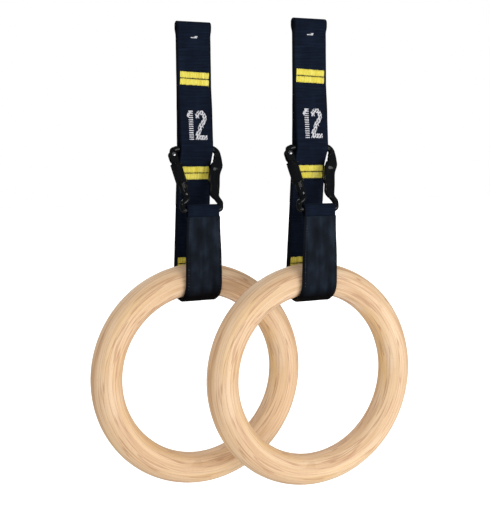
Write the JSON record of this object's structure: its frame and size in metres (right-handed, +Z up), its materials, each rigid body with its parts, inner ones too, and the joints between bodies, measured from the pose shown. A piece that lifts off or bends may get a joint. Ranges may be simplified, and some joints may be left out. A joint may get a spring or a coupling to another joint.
{
  "type": "gymnastics rings",
  "caption": "Round laminated wood grip rings, each slung in flat webbing with sewn height loops, a wear sleeve around the tube and a locking carabiner.",
  "frame": {"origin": "middle of the left strap's hanging eye, where the bar or hook that holds the part up passes through", "axes": "+Z up, -Y the front that faces the user, X across the straps and along each ring's plane; both rings' planes are parallel to XZ"},
  "size_m": [0.34, 0.1058, 0.4873],
  "materials": {
    "webbing": "dark navy woven polyester webbing, matt",
    "bar_tack": "yellow polyester thread, close stitched",
    "wear_sleeve": "smooth coated tube fabric, soft sheen",
    "ring_wood": "pale laminated birch, fine sanded, satin",
    "black_metal": "gloss black coating",
    "steel": "bright turned steel"
  },
  "bodies": {
    "left_anchor": {"left_hanging_eye": "webbing"},
    "left_bend": {"left_strap_neck": "webbing"},
    "left_strap": {"left_main_strap": "webbing", "left_loop_webbing": "webbing", "left_upper_bar_tack": "bar_tack", "left_middle_bar_tack": "bar_tack", "left_lower_bar_tack": "bar_tack", "left_end_loop_stitch": "bar_tack", "left_wear_sleeve": "wear_sleeve", "left_carabiner_body": "black_metal", "left_gate_pin": "steel"},
    "left_hoop": {"left_ring": "ring_wood"},
    "left_gate_arm": {"left_gate": "black_metal", "left_latch_pin": "steel", "left_gate_plunger": "steel", "left_gate_spring": "steel"},
    "left_lock": {"left_lock_sleeve": "black_metal"},
    "right_anchor": {"right_hanging_eye": "webbing"},
    "right_bend": {"right_strap_neck": "webbing"},
    "right_strap": {"right_main_strap": "webbing", "right_loop_webbing": "webbing", "right_upper_bar_tack": "bar_tack", "right_middle_bar_tack": "bar_tack", "right_lower_bar_tack": "bar_tack", "right_end_loop_stitch": "bar_tack", "right_wear_sleeve": "wear_sleeve", "right_carabiner_body": "black_metal", "right_gate_pin": "steel"},
    "right_hoop": {"right_ring": "ring_wood"},
    "right_gate_arm": {"right_gate": "black_metal", "right_latch_pin": "steel", "right_gate_plunger": "steel", "right_gate_spring": "steel"},
    "right_lock": {"right_lock_sleeve": "black_metal"}
  },
  "joints": [
    {"name": "left_strap_swing", "type": "hinge", "parent": "left_anchor", "child": "left_bend", "pos_m": [0, 0, -0.014], "axis": [1, 0, 0], "range_deg": [-2, 60]},
    {"name": "left_strap_twist", "type": "hinge", "parent": "left_bend", "child": "left_strap", "pos_m": [0, 0, -0.034], "axis": [0, 0, 1], "range_deg": [-8, 45], "stiffness_Nm_per_rad": 0.05},
    {"name": "left_ring_tilt", "type": "hinge", "parent": "left_strap", "child": "left_hoop", "pos_m": [0, 0, -0.26435], "axis": [1, 0, 0], "range_deg": [-4, 90]},
    {"name": "left_gate_swing", "type": "hinge", "parent": "left_strap", "child": "left_gate_arm", "pos_m": [-0.026, -0.0034, -0.1332], "axis": [0, -0.9709, 0.2394], "range_deg": [0, 18], "stiffness_Nm_per_rad": 0.1, "springref_deg": -57.3},
    {"name": "left_lock_travel", "type": "slide", "parent": "left_gate_arm", "child": "left_lock", "axis": [-0.2206, 0.2335, 0.947], "range_m": [-0.0152, 0]},
    {"name": "right_spacing", "type": "slide", "parent": "left_anchor", "child": "right_anchor", "axis": [1, 0, 0], "range_m": [0, 0.396]},
    {"name": "right_strap_swing", "type": "hinge", "parent": "right_anchor", "child": "right_bend", "pos_m": [0.104, -0.06, -0.014], "axis": [1, 0, 0], "range_deg": [-60, 2]},
    {"name": "right_strap_twist", "type": "hinge", "parent": "right_bend", "child": "right_strap", "pos_m": [0.104, -0.06, -0.034], "axis": [0, 0, 1], "range_deg": [-8, 45], "stiffness_Nm_per_rad": 0.05},
    {"name": "right_ring_tilt", "type": "hinge", "parent": "right_strap", "child": "right_hoop", "pos_m": [0.104, -0.06, -0.26435], "axis": [1, 0, 0], "range_deg": [-90, 4]},
    {"name": "right_gate_swing", "type": "hinge", "parent": "right_strap", "child": "right_gate_arm", "pos_m": [0.078, -0.0634, -0.1332], "axis": [0, -0.9709, 0.2394], "range_deg": [0, 18], "stiffness_Nm_per_rad": 0.1, "springref_deg": -57.3},
    {"name": "right_lock_travel", "type": "slide", "parent": "right_gate_arm", "child": "right_lock", "axis": [-0.2206, 0.2335, 0.947], "range_m": [-0.0152, 0]}
  ]
}
